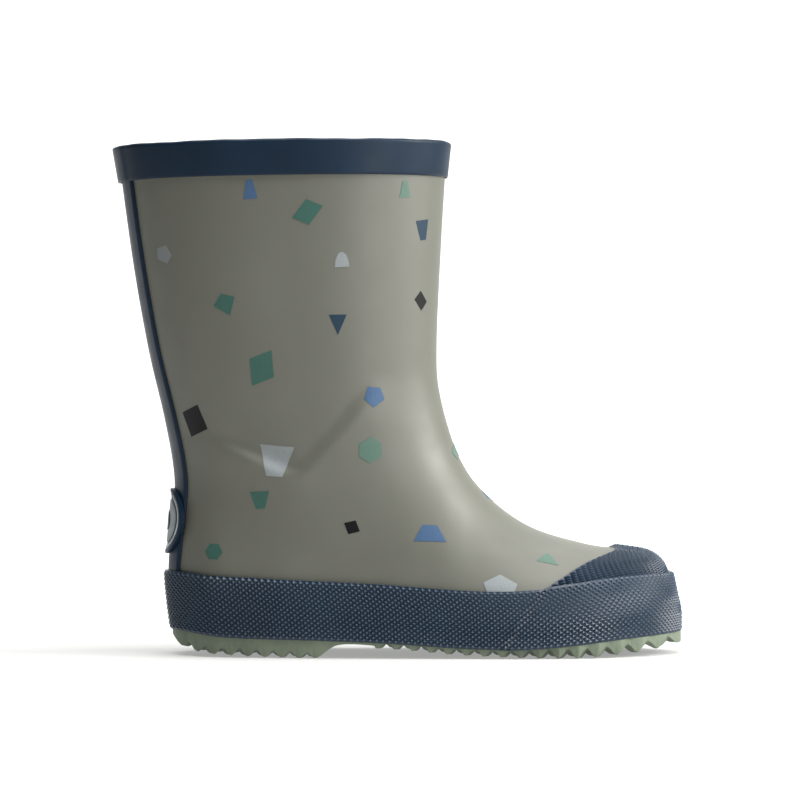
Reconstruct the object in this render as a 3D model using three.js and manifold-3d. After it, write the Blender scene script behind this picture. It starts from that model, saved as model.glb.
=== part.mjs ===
// A child's rubber wellington boot, right foot, built from eight moulded and cut pieces.
// Millimetres, +Z up, +X towards the toe, -Y the outer side. X = 0 is near the back of the heel while the
// pieces are made; the finished group is moved so that its origin is the middle of its box on the floor.
//
// One function, the form, gives the outer skin of the upper: a side outline and a half width at every point
// of it. Each piece is cut from layers between two offsets of that form, so the pieces nest without touching.
import * as THREE from "three";
import { mergeVertices } from "three/addons/utils/BufferGeometryUtils.js";
import Module from "manifold-3d";

const wasm = await Module();
wasm.setup();

// ---- Driving dimensions -------------------------------------------------------------------------------

const WALL = 2.4; // rubber skin and bonded cotton lining together
const GAP = 0.3; // clearance between pieces that are bonded in the real boot
const COLLAR_HEIGHT = 181; // top of the bound edge at the front
const COLLAR_BACK_DROP = 2; // how much lower the collar is at the back
const BINDING_WIDTH = 12.3;
const BINDING_LIP = 1.1; // binding rubber folded over the cut edge of the shaft
const BINDING_PROUD = 0.95; // at its lower edge
const BINDING_FLARE = 0.55; // more at its upper edge
const STRIP_PROUD = 1.1;
const STRIP_HALF_WIDTHS = { top: 14.6, bottom: 11.3 };
const CAP_PROUD = 1.5;
const CAP_TURN = 5; // degrees that the toe cap's edge turns back on the inner side
const FOXING_PROUD = 2.3;
const FOXING_OVER_CAP = 3.5;
const FOXING_OVER_STRIP = 3.1;
const SOLE_PROUD = { heel: 1.9, waist: 1.3, toe: 2.9 }; // ledge of the outsole below the foxing
const INSOLE_THICKNESS = 3;
const BADGE_HEIGHT = 46.8;
const BADGE_HALF_WIDTH = 10.3;
const BADGE_HALF_HEIGHT = 11.6;
const BADGE_THICKNESS = 1.3;
const RIB_ZIGZAG = 2.2; // how far each tread groove swings forwards and back
const RIB_ZIGZAG_STEP = 13; // across the sole, from one turn of the zigzag to the next

const BELOW_FLOOR = -3; // the form runs on below the floor, so that the floor profile cuts it
const ABOVE_COLLAR = 187;

// Side outline of the upper's skin, from the collar down: [x, z].
const FRONT_LINE = [
  [100.2, ABOVE_COLLAR], [97.8, 150], [96, 110], [97.4, 90.5], [104.2, 68.8], [114.1, 55.5], [129.4, 44.6],
  [148, 38.7], [161, 36.6], [170.6, 35], [175.2, 32], [177.2, 28], [179, 20], [180, 15.4], [180, 6],
  [180, BELOW_FLOOR],
];
const BACK_LINE = [
  [-17.1, ABOVE_COLLAR], [-10.9, 142], [-5.1, 109], [0.8, 83], [4.2, 62], [3.3, 46], [2.1, 30], [3, 18], [4.2, 8],
  [4.6, BELOW_FLOOR],
];

// From its knot at the ankle the foot's top runs on back inside the shaft, so that the two blend softly: [x, z].
const ANKLE_KNOT = 4;
const INSTEP_RUN = [[-10, 190], [30, 156], [62, 126], [84, 103.5], [96, 85]];

// Half width of the foot just above the sole, at stations along it: [x, half width].
const HEEL_RADIUS = 19;
const TOE_RADIUS = 28;
const FOOT_HALF_WIDTHS = [
  [14, 19.2], [28, 25.2], [44, 27.8], [60, 28.6], [78, 29.4], [102, 31], [126, 32.6], [150, 31.2], [168, 23],
];
// The foot's own centre line leans to the inner side at the toe: [x, y].
const FOOT_CENTRE = [[3, 0], [40, -0.6], [76, -1.6], [110, -1.2], [140, 1.2], [165, 4.4], [180, 6]];
const SHAFT_HALF_WIDTHS = [[-3, 28], [40, 28], [62, 28.6], [90, 30.6], [125, 33.6], [160, 35.4], [190, 36]];
const SHAFT_SQUARENESS = 2.5; // 2 gives elliptical sections, more gives flatter sides
const FOOT_TO_SHAFT = [20, 84]; // heights where the foot's sections give way to the shaft's
const INSTEP_BULGE = 1.4; // how much the foot's sides swell above the sole
const RIDGE_LEAN = 4; // the instep's ridge stands this far to the inner side

// Heights along the sole: [x, z].
const SEAT_LINE = [[-4, 11.4], [30, 11], [70, 10.6], [100, 8.6], [125, 8], [148, 9.6], [168, 12.2], [184, 14]];
const FOXING_TOP = [
  [-6, 29.6], [8, 29.6], [24, 28.2], [54, 26.8], [80, 25.3], [104, 23.8], [128, 23.5], [142, 25.4],
  [156, 27], [186, 28.6],
];
const FOXING_BOTTOM = [
  [-6, 9.6], [8, 8.6], [24, 6.8], [54, 6.1], [78, 5.2], [104, 3.5], [124, 3], [142, 4.3], [160, 6.4], [186, 8.4],
];
// Floor profile of the tread: a heel with a rounded back, an arch, and a forefoot with toe spring.
const TREAD_LINE = [
  [-4, 7], [2, 5.4], [6, 2.6], [11, 0.8], [17, 0], [53.5, 0], [60.5, 4.4], [73, 4.4], [76, 3.2], [90, 1.2], [104, 0],
  [151, 0], [160, 0.8], [168, 1.7], [175, 2.7], [186, 4.6],
];
const GROOVE_DEPTH = 2.9;
const GROOVE_ROOF = 1.2; // rubber left between a groove and the foxing
const HEEL_GROOVES = { from: 8.2, to: 51, pitch: 6, width: 4 };
const FOREFOOT_GROOVES = { from: 78.6, to: 177, pitch: 6.85, width: 4.8 };

// Toe cap's rear edge in side view, from the sole up to the ridge of the vamp: [x, z].
const CAP_EDGE = [[112, -3], [119.4, 7.5], [130, 22.8], [139, 29], [147.8, 33.5], [155, 35.9], [160, 38.2], [163, 46]];

// ---- Curves and the form ------------------------------------------------------------------------------

const smoothstep = (low, high, value) => THREE.MathUtils.smoothstep(value, low, high);

function smoothPoints(knots, perSpan = 10) {
  const spline = new THREE.SplineCurve(knots.map(([a, b]) => new THREE.Vector2(a, b)));
  return spline.getPoints(perSpan * (knots.length - 1)).map((p) => [p.x, p.y]);
}

// Reads a list of [position, value] pairs as a function of position, held level past its ends.
function reader(pairs) {
  const sorted = pairs[0][0] < pairs.at(-1)[0] ? pairs : [...pairs].reverse();
  return (at) => {
    if (at <= sorted[0][0]) return sorted[0][1];
    for (let i = 1; i < sorted.length; i++) {
      const [a0, v0] = sorted[i - 1];
      const [a1, v1] = sorted[i];
      if (at <= a1) return v0 + ((v1 - v0) * (at - a0)) / Math.max(a1 - a0, 1e-9);
    }
    return sorted.at(-1)[1];
  };
}

const flip = (pairs) => pairs.map(([a, b]) => [b, a]);
const TOE_X = FRONT_LINE.at(-1)[0];
const frontPoints = smoothPoints(FRONT_LINE).map(([x, z]) => [Math.min(x, TOE_X), z]);
const backPoints = smoothPoints(BACK_LINE);
const frontAt = reader(flip(frontPoints)); // x of the front line at a height
const backAt = reader(flip(backPoints));
const ankle = frontPoints.findIndex(([, z]) => z <= FRONT_LINE[ANKLE_KNOT][1]);
const tip = frontPoints.findIndex(([x]) => x >= TOE_X);
const instepRun = smoothPoints([...INSTEP_RUN, ...FRONT_LINE.slice(ANKLE_KNOT, ANKLE_KNOT + 2)]);
// Height of the foot's top over a point of it.
const topAt = reader([
  ...instepRun.filter(([x]) => x < frontPoints[ankle][0]),
  ...frontPoints.slice(ankle, tip + 1),
]);
const seatAt = reader(smoothPoints(SEAT_LINE));
const footCentreAt = reader(smoothPoints(FOOT_CENTRE));
const shaftHalfWidthAt = reader(smoothPoints(SHAFT_HALF_WIDTHS));

const HEEL_X = backAt(BELOW_FLOOR);
// The foot's outline is a long oval times this taper, which is even enough to read smoothly end to end.
const ovalAt = (x) => (x - HEEL_X) * (TOE_X - x);
const taperAt = reader(
  smoothPoints([
    [HEEL_X - 4, Math.sqrt((2 * HEEL_RADIUS) / (TOE_X - HEEL_X))],
    ...FOOT_HALF_WIDTHS.map(([x, half]) => [x, half / Math.sqrt(ovalAt(x))]),
    [TOE_X, Math.sqrt((2 * TOE_RADIUS) / (TOE_X - HEEL_X))],
  ]),
);

// Square of the skin's half width at a point of the side view. It crosses zero at the outline.
function halfWidthSquared(x, z) {
  const heel = backAt(z);
  const front = frontAt(z);
  const rise = Math.max((z - seatAt(x)) / (topAt(x) - seatAt(x)), 0);
  const foot =
    (x - heel) * (TOE_X - x) * taperAt(x) ** 2 * (1 - rise) * (1 + INSTEP_BULGE * rise);
  const along = (2 * (x - heel)) / (front - heel) - 1;
  const shaft = shaftHalfWidthAt(z) ** 2 * (1 - Math.abs(along) ** SHAFT_SQUARENESS);
  return THREE.MathUtils.lerp(foot, shaft, smoothstep(...FOOT_TO_SHAFT, z));
}

function centreAt(x, z) {
  const rise = smoothstep(seatAt(x), topAt(x), z);
  return (footCentreAt(x) + RIDGE_LEAN * rise * smoothstep(60, 120, x)) * (1 - smoothstep(...FOOT_TO_SHAFT, z));
}

// Outward normal of the skin, from the slope of (y - centre)^2 - halfWidthSquared.
function normalAt({ x, y, z }) {
  const step = 0.4;
  const f = (a, b) => (y - centreAt(a, b)) ** 2 - halfWidthSquared(a, b);
  const slope = new THREE.Vector3(
    (f(x + step, z) - f(x - step, z)) / (2 * step),
    2 * (y - centreAt(x, z)),
    (f(x, z + step) - f(x, z - step)) / (2 * step),
  );
  return slope.normalize();
}

// A path's point at a distance along it.
function walker(points) {
  const vectors = points.map(([x, z]) => new THREE.Vector2(x, z));
  const lengths = [0];
  for (let i = 1; i < vectors.length; i++) lengths.push(lengths[i - 1] + vectors[i].distanceTo(vectors[i - 1]));
  const xAt = reader(lengths.map((s, i) => [s, points[i][0]]));
  const zAt = reader(lengths.map((s, i) => [s, points[i][1]]));
  return { total: lengths.at(-1), at: (s) => [xAt(s), zAt(s)] };
}

// Sections fan round the instep, from level at the collar to upright at the toe. Each fan stretch starts at a
// distance down the back-and-bottom path and one down the front path, and is cut into a number of steps.
const backPath = walker([...backPoints, [TOE_X, BELOW_FLOOR]]);
const frontPath = walker(frontPoints);
const FAN = [
  { back: 0, front: 0, steps: 4 },
  { back: 94, front: 76, steps: 3 },
  { back: 144, front: 114, steps: 4 },
  { back: 191, front: 130, steps: 3 },
  { back: 226, front: 142, steps: 4 },
  { back: 300, front: 172, steps: 3 },
  { back: 337, front: 194, steps: 2 },
  { back: 357, front: 207, steps: 4 },
  { back: backPath.total, front: frontPath.total, steps: 0 },
];
const AROUND = 15; // points from the back of a section to its front, on each side

function fanLines() {
  const lines = [];
  FAN.slice(0, -1).forEach((stretch, i) => {
    const next = FAN[i + 1];
    const last = i === FAN.length - 2;
    for (let k = 0; k < stretch.steps; k++) {
      const even = k / stretch.steps;
      const share = last ? 1 - (1 - even) ** 2 : even; // closer together towards the tip of the toe
      lines.push([
        backPath.at(THREE.MathUtils.lerp(stretch.back, next.back, share)),
        frontPath.at(THREE.MathUtils.lerp(stretch.front, next.front, share)),
      ]);
    }
  });
  lines.push([backPath.at(backPath.total), frontPath.at(frontPath.total)]);
  return lines;
}

const SECTIONS = fanLines().map(([[backX, backZ], [frontX, frontZ]]) => {
  const ring = [];
  for (let j = 0; j <= 2 * AROUND; j++) {
    const share = (1 - Math.cos((Math.PI * j) / AROUND)) / 2;
    const x = THREE.MathUtils.lerp(backX, frontX, share);
    const z = THREE.MathUtils.lerp(backZ, frontZ, share);
    const half = Math.sqrt(Math.max(halfWidthSquared(x, z), 0));
    const side = j <= AROUND ? -1 : 1;
    const point = new THREE.Vector3(x, centreAt(x, z) + side * half, z);
    ring.push({ point, normal: normalAt(point) });
  }
  return ring;
});

// ---- Solids -------------------------------------------------------------------------------------------

function solidOf(geometry) {
  const bare = geometry.index ? geometry.toNonIndexed() : geometry;
  const merged = mergeVertices(
    new THREE.BufferGeometry().setAttribute("position", bare.getAttribute("position")), 1e-3,
  );
  const corners = [];
  for (let i = 0; i < merged.index.count; i += 3) {
    const [a, b, c] = merged.index.array.slice(i, i + 3);
    if (a !== b && b !== c && a !== c) corners.push(a, b, c);
  }
  return new wasm.Manifold(
    new wasm.Mesh({
      numProp: 3,
      vertProperties: new Float32Array(merged.attributes.position.array),
      triVerts: new Uint32Array(corners),
    }),
  );
}

// The form grown by an offset, as one closed solid. The offset is a number or a function of the skin's point.
function form(offset) {
  const grow = typeof offset === "function" ? offset : () => offset;
  const rings = SECTIONS.map((ring) =>
    ring.map(({ point, normal }) => point.clone().addScaledVector(normal, grow(point))),
  );
  const triangles = [];
  const quad = (a, b, c, d) => triangles.push(a, c, b, a, d, c);
  for (let i = 0; i + 1 < rings.length; i++) {
    for (let j = 0; j < 2 * AROUND; j++) quad(rings[i][j], rings[i][j + 1], rings[i + 1][j + 1], rings[i + 1][j]);
    quad(rings[i][2 * AROUND], rings[i][0], rings[i + 1][0], rings[i + 1][2 * AROUND]); // floor of the form
  }
  const collar = rings[0];
  for (let j = 0; j < AROUND; j++) quad(collar[j + 1], collar[j], collar[2 * AROUND - j], collar[2 * AROUND - j - 1]);
  const geometry = new THREE.BufferGeometry().setFromPoints(triangles);
  return solidOf(geometry);
}

// A side-view outline made into a slab that reaches past the boot on both sides.
function slab(outline) {
  const reach = 60;
  const shape = new THREE.Shape(outline.map(([x, z]) => new THREE.Vector2(x, z)));
  const geometry = new THREE.ExtrudeGeometry(shape, { depth: 2 * reach, bevelEnabled: false });
  geometry.rotateX(Math.PI / 2).translate(0, reach, 0);
  return solidOf(geometry);
}

// Everything between two side-view lines, both read from the heel to the toe.
const between = (low, high) => slab([...low, ...[...high].reverse()]);
const raised = (line, by) => line.map(([x, z]) => [x, z + by]);
const level = (z) => [[-40, z], [220, z]];

const seat = smoothPoints(SEAT_LINE, 3);
const foxingTop = smoothPoints(FOXING_TOP, 2);
const foxingBottom = smoothPoints(FOXING_BOTTOM, 2);
const foxingBottomAt = reader(foxingBottom);
const collarLine = (drop) => [
  [-30, COLLAR_HEIGHT - COLLAR_BACK_DROP - drop],
  [110, COLLAR_HEIGHT - drop],
];

const skin = form(0);
const overSkin = form(GAP);

function makeUpper() {
  return skin.subtract(form(-WALL)).intersect(between(raised(seat, GAP / 2), collarLine(BINDING_LIP + GAP)));
}

// The strip is a tapered band in the back view. Grown by the clearance, it is also the room that the pieces
// passing over it leave free.
function stripColumn(grown) {
  const top = STRIP_HALF_WIDTHS.top + grown;
  const bottom = STRIP_HALF_WIDTHS.bottom + grown;
  const shape = new THREE.Shape([
    new THREE.Vector2(-bottom, -10),
    new THREE.Vector2(bottom, -10),
    new THREE.Vector2(top, ABOVE_COLLAR + 5),
    new THREE.Vector2(-top, ABOVE_COLLAR + 5),
  ]);
  const geometry = new THREE.ExtrudeGeometry(shape, { depth: 80, bevelEnabled: false });
  geometry.rotateX(Math.PI / 2).rotateZ(Math.PI / 2).translate(-40, 0, 0);
  return solidOf(geometry);
}

const stripRoom = form(STRIP_PROUD + GAP).intersect(stripColumn(GAP));

function makeBackStrip() {
  return form(STRIP_PROUD)
    .subtract(overSkin)
    .intersect(stripColumn(0))
    .intersect(between(raised(seat, GAP / 2), collarLine(BINDING_LIP + GAP)));
}

function makeCollarBinding() {
  const lowest = COLLAR_HEIGHT - BINDING_WIDTH;
  const proud = ({ x, z }) =>
    BINDING_PROUD +
    BINDING_FLARE * smoothstep(lowest, COLLAR_HEIGHT, z) +
    (STRIP_PROUD + 0.1) * (1 - smoothstep(-13, 2, x));
  const outer = form(proud);
  const apron = outer.subtract(overSkin).subtract(stripRoom)
    .intersect(between(collarLine(BINDING_WIDTH), collarLine(BINDING_LIP - 0.01)));
  const lip = outer.subtract(form(-WALL)).intersect(between(collarLine(BINDING_LIP), collarLine(0)));
  return apron.add(lip);
}

// The cap is everything ahead of its edge, turned with the axis of the forefoot.
function capRegion(grown) {
  const edge = smoothPoints(CAP_EDGE, 3).map(([x, z]) => [x - grown, z]);
  const region = slab([...edge, [210, 46], [210, -3]]);
  return region.translate([-150, 0, 0]).rotate([0, 0, CAP_TURN]).translate([150, 0, 0]);
}

function makeToeCap() {
  return form(CAP_PROUD)
    .subtract(overSkin)
    .intersect(capRegion(0))
    .intersect(between(raised(seat, GAP / 2), level(60)));
}

function makeFoxing() {
  const proud = ({ x }) =>
    FOXING_PROUD +
    (FOXING_OVER_CAP - FOXING_PROUD) * smoothstep(122, 146, x) +
    (FOXING_OVER_STRIP - FOXING_PROUD) * (1 - smoothstep(1, 12, x));
  return form(proud)
    .subtract(overSkin)
    .intersect(between(foxingBottom, foxingTop))
    .subtract(stripRoom)
    .subtract(form(CAP_PROUD + GAP).intersect(capRegion(GAP)));
}

// One tread groove: a wedge swept across the sole on a zigzag, open to the floor.
function groove(x, width) {
  const turns = 6;
  const bottom = reader(TREAD_LINE)(x);
  const apex = Math.min(bottom + GROOVE_DEPTH, foxingBottomAt(x) - GROOVE_ROOF);
  const rings = [];
  for (let i = 0; i <= turns; i++) {
    const y = (i - turns / 2) * RIB_ZIGZAG_STEP;
    const swing = i % 2 ? RIB_ZIGZAG / 2 : -RIB_ZIGZAG / 2;
    rings.push([
      new THREE.Vector3(x + swing - width, y, 2 * bottom - apex),
      new THREE.Vector3(x + swing + width, y, 2 * bottom - apex),
      new THREE.Vector3(x + swing, y, apex),
    ]);
  }
  const triangles = [];
  for (let i = 0; i < turns; i++) {
    for (let k = 0; k < 3; k++) {
      const n = (k + 1) % 3;
      triangles.push(rings[i][n], rings[i][k], rings[i + 1][k], rings[i][n], rings[i + 1][k], rings[i + 1][n]);
    }
  }
  triangles.push(...rings[0], ...rings[turns].reverse());
  return solidOf(new THREE.BufferGeometry().setFromPoints(triangles));
}

function makeOutsole() {
  const tread = [[-8, TREAD_LINE[0][1]], ...TREAD_LINE.slice(1, -1), [190, TREAD_LINE.at(-1)[1]]];
  const core = skin.intersect(between(tread, raised(seat, -GAP / 2)));
  const proud = ({ x }) =>
    SOLE_PROUD.waist +
    (SOLE_PROUD.heel - SOLE_PROUD.waist) * (1 - smoothstep(4, 20, x)) +
    (SOLE_PROUD.toe - SOLE_PROUD.waist) * smoothstep(122, 150, x);
  const ledge = form(proud).intersect(between(tread, raised(foxingBottom, -GAP)));
  let sole = core.add(ledge);
  for (const { from, to, pitch, width } of [HEEL_GROOVES, FOREFOOT_GROOVES]) {
    for (let x = from; x <= to; x += pitch) sole = sole.subtract(groove(x, width));
  }
  return sole;
}

function makeInsole() {
  return form(-WALL - GAP).intersect(between(raised(seat, GAP / 2), raised(seat, GAP / 2 + INSOLE_THICKNESS)));
}

function makeBadge() {
  const disc = new THREE.CylinderGeometry(1, 1, 60, 40);
  disc.rotateZ(Math.PI / 2).scale(1, BADGE_HALF_WIDTH, BADGE_HALF_HEIGHT).translate(-20, 0, BADGE_HEIGHT);
  return form(STRIP_PROUD + GAP + BADGE_THICKNESS).subtract(form(STRIP_PROUD + GAP)).intersect(solidOf(disc));
}

// ---- Assembly -----------------------------------------------------------------------------------------

const rubber = (color, roughness) => new THREE.MeshStandardMaterial({ color, roughness, metalness: 0 });
const khakiRubber = rubber("#85857a", 0.45);
const navyRubber = rubber("#26394a", 0.5);
const soleRubber = rubber("#8b9377", 0.7);
const foam = rubber("#b9b4a6", 0.9);
const badgeRubber = rubber("#9aa3a6", 0.6);

const pieces = [
  ["upper", makeUpper(), khakiRubber],
  ["collar_binding", makeCollarBinding(), navyRubber],
  ["back_strip", makeBackStrip(), navyRubber],
  ["toe_cap", makeToeCap(), navyRubber],
  ["foxing_band", makeFoxing(), navyRubber],
  ["outsole", makeOutsole(), soleRubber],
  ["insole", makeInsole(), foam],
  ["heel_badge", makeBadge(), badgeRubber],
];

function geometryOf(solid) {
  const { numProp, numVert, vertProperties, triVerts } = solid.getMesh();
  const positions = new Float32Array(numVert * 3);
  for (let i = 0; i < numVert; i++) positions.set(vertProperties.subarray(i * numProp, i * numProp + 3), i * 3);
  const geometry = new THREE.BufferGeometry();
  geometry.setAttribute("position", new THREE.BufferAttribute(positions, 3));
  geometry.setIndex(new THREE.BufferAttribute(new Uint32Array(triVerts), 1));
  return geometry;
}

// The piece's main body. A cut between two near-parallel skins can leave a sliver of no volume beside it.
const mainBody = (solid) => solid.decompose().sort((a, b) => b.volume() - a.volume())[0];

const bounds = new THREE.Box3();
for (const [, solid] of pieces) {
  const { min, max } = solid.boundingBox();
  bounds.union(new THREE.Box3(new THREE.Vector3(...min), new THREE.Vector3(...max)));
}
const middle = bounds.getCenter(new THREE.Vector3());
const boot = new THREE.Group();
for (const [name, solid, material] of pieces) {
  const placed = geometryOf(solid).translate(-middle.x, -middle.y, -bounds.min.z);
  const geometry = geometryOf(mainBody(solidOf(placed)));
  geometry.computeVertexNormals();
  const mesh = new THREE.Mesh(geometry, material);
  mesh.name = name;
  boot.add(mesh);
}

export default boot;
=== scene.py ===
"""A child's rubber wellington boot: its fine surfaces, prints and finishes, built round its solid frame.

Every surface is worked in millimetres from one form, the outer skin of the upper, and set down in metres in
the frame of the solid parts: +X towards the toe, -Y the outer side, +Z up.
"""

import math
from collections import Counter

import bpy
import numpy as np
from bpy.props import FloatProperty, FloatVectorProperty, PointerProperty
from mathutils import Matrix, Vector
from mathutils.bvhtree import BVHTree


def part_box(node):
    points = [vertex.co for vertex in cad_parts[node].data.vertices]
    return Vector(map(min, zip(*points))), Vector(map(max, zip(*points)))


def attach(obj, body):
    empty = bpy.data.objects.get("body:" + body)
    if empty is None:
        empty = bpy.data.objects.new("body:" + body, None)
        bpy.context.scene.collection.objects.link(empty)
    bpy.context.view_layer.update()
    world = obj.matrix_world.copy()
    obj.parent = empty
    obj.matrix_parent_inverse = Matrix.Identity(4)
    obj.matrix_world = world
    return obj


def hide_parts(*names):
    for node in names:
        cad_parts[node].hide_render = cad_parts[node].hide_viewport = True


bl_info = {
    "name": "Wellington Boot",
    "version": (1, 0, 0),
    "blender": (4, 5, 0),
    "location": "3D View > Sidebar > Boot",
    "description": "Builds a child's rubber boot piece by piece round its solid frame",
    "category": "Add Mesh",
}

MM = 0.001
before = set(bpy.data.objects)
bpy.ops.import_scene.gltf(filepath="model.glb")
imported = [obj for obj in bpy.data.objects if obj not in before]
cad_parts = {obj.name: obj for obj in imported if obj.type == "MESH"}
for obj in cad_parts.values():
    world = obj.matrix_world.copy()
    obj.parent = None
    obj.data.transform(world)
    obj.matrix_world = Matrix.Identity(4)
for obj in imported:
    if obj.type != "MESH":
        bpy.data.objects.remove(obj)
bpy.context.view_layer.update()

# ---- The boot's own lines, in millimetres ----

BELOW_FLOOR = -3
ABOVE_COLLAR = 187
FRONT_LINE = [
    (100.2, ABOVE_COLLAR), (97.8, 150), (96, 110), (97.4, 90.5), (104.2, 68.8), (114.1, 55.5), (129.4, 44.6),
    (148, 38.7), (161, 36.6), (170.6, 35), (175.2, 32), (177.2, 28), (179, 20), (180, 15.4), (180, 6),
    (180, BELOW_FLOOR),
]
BACK_LINE = [
    (-17.1, ABOVE_COLLAR), (-10.9, 142), (-5.1, 109), (0.8, 83), (4.2, 62), (3.3, 46), (2.1, 30), (3, 18),
    (4.2, 8), (4.6, BELOW_FLOOR),
]
# From its knot at the ankle the foot's top runs on back inside the shaft, so that the two blend softly.
ANKLE_KNOT = 4
INSTEP_RUN = [(-10, 190), (30, 156), (62, 126), (84, 103.5), (96, 85)]
HEEL_RADIUS = 19
TOE_RADIUS = 28
FOOT_HALF_WIDTHS = [
    (14, 19.2), (28, 25.2), (44, 27.8), (60, 28.6), (78, 29.4), (102, 31), (126, 32.6), (150, 31.2),
    (168, 23),
]
FOOT_CENTRE = [(3, 0), (40, -0.6), (76, -1.6), (110, -1.2), (140, 1.2), (165, 4.4), (180, 6)]
SHAFT_HALF_WIDTHS = [(-3, 28), (40, 28), (62, 28.6), (90, 30.6), (125, 33.6), (160, 35.4), (190, 36)]
SHAFT_SQUARENESS = 2.5
FOOT_TO_SHAFT = (20, 84)
INSTEP_BULGE = 1.4
RIDGE_LEAN = 4

SEAT_LINE = [(-4, 11.4), (30, 11), (70, 10.6), (100, 8.6), (125, 8), (148, 9.6), (168, 12.2), (184, 14)]
FOXING_BOTTOM = [
    (-6, 9.6), (8, 8.6), (24, 6.8), (54, 6.1), (78, 5.2), (104, 3.5), (124, 3), (142, 4.3), (160, 6.4),
    (186, 8.4),
]
FOXING_HEIGHTS = [(-6, 20), (24, 21.4), (54, 20.7), (104, 20.3), (128, 20.5), (156, 20.9), (186, 20.2)]
CAP_EDGE = [
    (112, -3), (119.4, 7.5), (130, 22.8), (139, 29), (147.8, 33.5), (155, 35.9), (160, 38.2), (163, 46),
]
CAP_TURN = math.radians(5)
CAP_PIVOT = 150
TREAD_LINE = [
    (0, 8.4), (2.6, 6.6), (6.2, 3.4), (12.4, 1.6), (18.4, 0.9), (30.4, 0.4), (47, 0), (53.8, 0),
    (61.4, 4.5), (73.4, 4.4), (75.2, 3.4), (87, 2.6), (99.3, 1.4), (118, 0.4), (131, 0), (144, 0),
    (151, 0.3), (158, 0.8), (165, 1.4), (172.6, 2.4), (180.7, 3.7),
]

WALL = 2.4
RUBBER = 1.3
COLLAR_HEIGHT = 181
COLLAR_SLOPE = 2 / 140
BINDING_WIDTH = 12.5
CAP_PROUD = 1.5
FOXING_PROUD = 2.3
FOXING_OVER_CAP = 3.5
FOXING_OVER_STRIP = 3.1
STRIP_PROUD = 1.1
INSOLE_THICKNESS = 3
BADGE_HEIGHT = 46.8
BADGE_RADIUS = 11.7
BADGE_STRETCH = 1.12
BADGE_ASIDE = -1.5

# The frame's pieces say where these lines lie in it: the foxing ends at the toe, the strip is on the heel.
SHIFT = np.array([
    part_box("foxing_band")[1].x / MM - FRONT_LINE[-1][0] - FOXING_OVER_CAP,
    (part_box("back_strip")[0].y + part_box("back_strip")[1].y) / 2 / MM,
    0,
])

# ---- Curves and the form ----


def smoothstep(low, high, value):
    t = np.clip((np.asarray(value, float) - low) / (high - low), 0, 1)
    return t * t * (3 - 2 * t)


def smooth(knots, per_span=40):
    """Points of a smooth curve through the knots."""
    k = np.array(knots, float)
    p = np.vstack([k[:1], k, k[-1:]])
    t = np.linspace(0, 1, per_span, endpoint=False)[:, None]
    spans = []
    for a, b, c, d in zip(p, p[1:], p[2:], p[3:]):
        leave, arrive = (c - a) / 2, (d - b) / 2
        cubic = 2 * b - 2 * c + leave + arrive
        square = 3 * c - 3 * b - 2 * leave - arrive
        spans.append(cubic * t**3 + square * t**2 + leave * t + b)
    return np.vstack([*spans, k[-1:]])


def reader(points, swapped=False):
    """A line as a function: its second coordinate at its first, or the other way round."""
    points = np.asarray(points)[:, ::-1] if swapped else np.asarray(points)
    if points[0, 0] > points[-1, 0]:
        points = points[::-1]
    return lambda at: np.interp(at, points[:, 0], points[:, 1])


TOE_X = FRONT_LINE[-1][0]
front_points = smooth(FRONT_LINE)
front_points[:, 0] = np.minimum(front_points[:, 0], TOE_X)
back_points = smooth(BACK_LINE)
front_at = reader(front_points, swapped=True)
back_at = reader(back_points, swapped=True)
ankle = int(np.argmax(front_points[:, 1] <= FRONT_LINE[ANKLE_KNOT][1]))
tip = int(np.argmax(front_points[:, 0] >= TOE_X))
instep_run = smooth([*INSTEP_RUN, *FRONT_LINE[ANKLE_KNOT : ANKLE_KNOT + 2]])
instep_run = instep_run[instep_run[:, 0] < front_points[ankle, 0]]
top_at = reader(np.vstack([instep_run, front_points[ankle : tip + 1]]))
seat_at = reader(smooth(SEAT_LINE))
foxing_bottom_at = reader(smooth(FOXING_BOTTOM))
foxing_height_at = reader(smooth(FOXING_HEIGHTS))
foot_centre_at = reader(smooth(FOOT_CENTRE))
shaft_half_width_at = reader(smooth(SHAFT_HALF_WIDTHS))
tread_at = reader(smooth(TREAD_LINE, 8))
cap_edge_at = reader(smooth(CAP_EDGE), swapped=True)
HEEL_X = float(back_at(BELOW_FLOOR))
taper_at = reader(smooth([
    (HEEL_X - 4, math.sqrt(2 * HEEL_RADIUS / (TOE_X - HEEL_X))),
    *((x, half / math.sqrt((x - HEEL_X) * (TOE_X - x))) for x, half in FOOT_HALF_WIDTHS),
    (TOE_X, math.sqrt(2 * TOE_RADIUS / (TOE_X - HEEL_X))),
]))


def along_foot(share):
    return HEEL_X + (TOE_X - HEEL_X) * share


def eased(count, half_turns=1):
    """A walk from heel to toe, and back again over two half turns: angle, share of the way and side."""
    turn = np.linspace(0, half_turns * math.pi, count)
    return turn, (1 - np.cos(turn)) / 2, np.where(turn <= math.pi, -1.0, 1.0)


def half_width_squared(x, z):
    """Square of the skin's half width at a point of the side view. It crosses zero at the outline."""
    heel, front = back_at(z), front_at(z)
    rise = np.maximum((z - seat_at(x)) / (top_at(x) - seat_at(x)), 0)
    foot = (x - heel) * (TOE_X - x) * taper_at(x) ** 2 * (1 - rise) * (1 + INSTEP_BULGE * rise)
    along = 2 * (x - heel) / (front - heel) - 1
    shaft = shaft_half_width_at(z) ** 2 * (1 - np.abs(along) ** SHAFT_SQUARENESS)
    share = smoothstep(*FOOT_TO_SHAFT, z)
    return foot + (shaft - foot) * share


def centre_at(x, z):
    rise = np.clip((z - seat_at(x)) / (top_at(x) - seat_at(x)), 0, 1)
    lean = RIDGE_LEAN * rise * rise * (3 - 2 * rise) * smoothstep(60, 120, x)
    return (foot_centre_at(x) + lean) * (1 - smoothstep(*FOOT_TO_SHAFT, z))


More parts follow.
